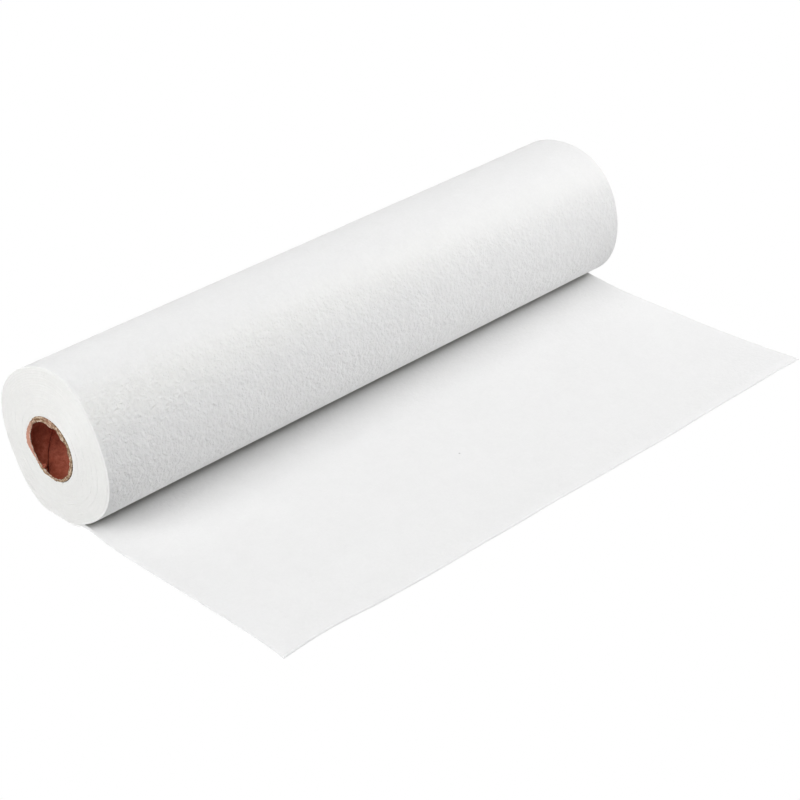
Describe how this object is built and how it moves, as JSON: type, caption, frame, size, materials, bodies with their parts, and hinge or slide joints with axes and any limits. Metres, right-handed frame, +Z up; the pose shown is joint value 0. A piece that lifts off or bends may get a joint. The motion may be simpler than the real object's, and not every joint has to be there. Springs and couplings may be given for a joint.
{
  "type": "roll of felt",
  "caption": "Roll of white craft felt wound on a cardboard tube, with its free end laid out flat in front; for cutting and sewing.",
  "frame": {"origin": "on the floor, under the middle of the roll, in the flat spot that it rests on", "axes": "+X along the roll, +Y to its back, +Z up; the free end reaches towards -Y"},
  "size_m": [0.4566, 0.2541, 0.1022],
  "materials": {
    "felt": "matt white needled felt",
    "cardboard": "raw kraft board with a red-brown paper lining"
  },
  "bodies": {
    "root": {"felt": "felt", "core_tube": "cardboard"}
  },
  "joints": []
}
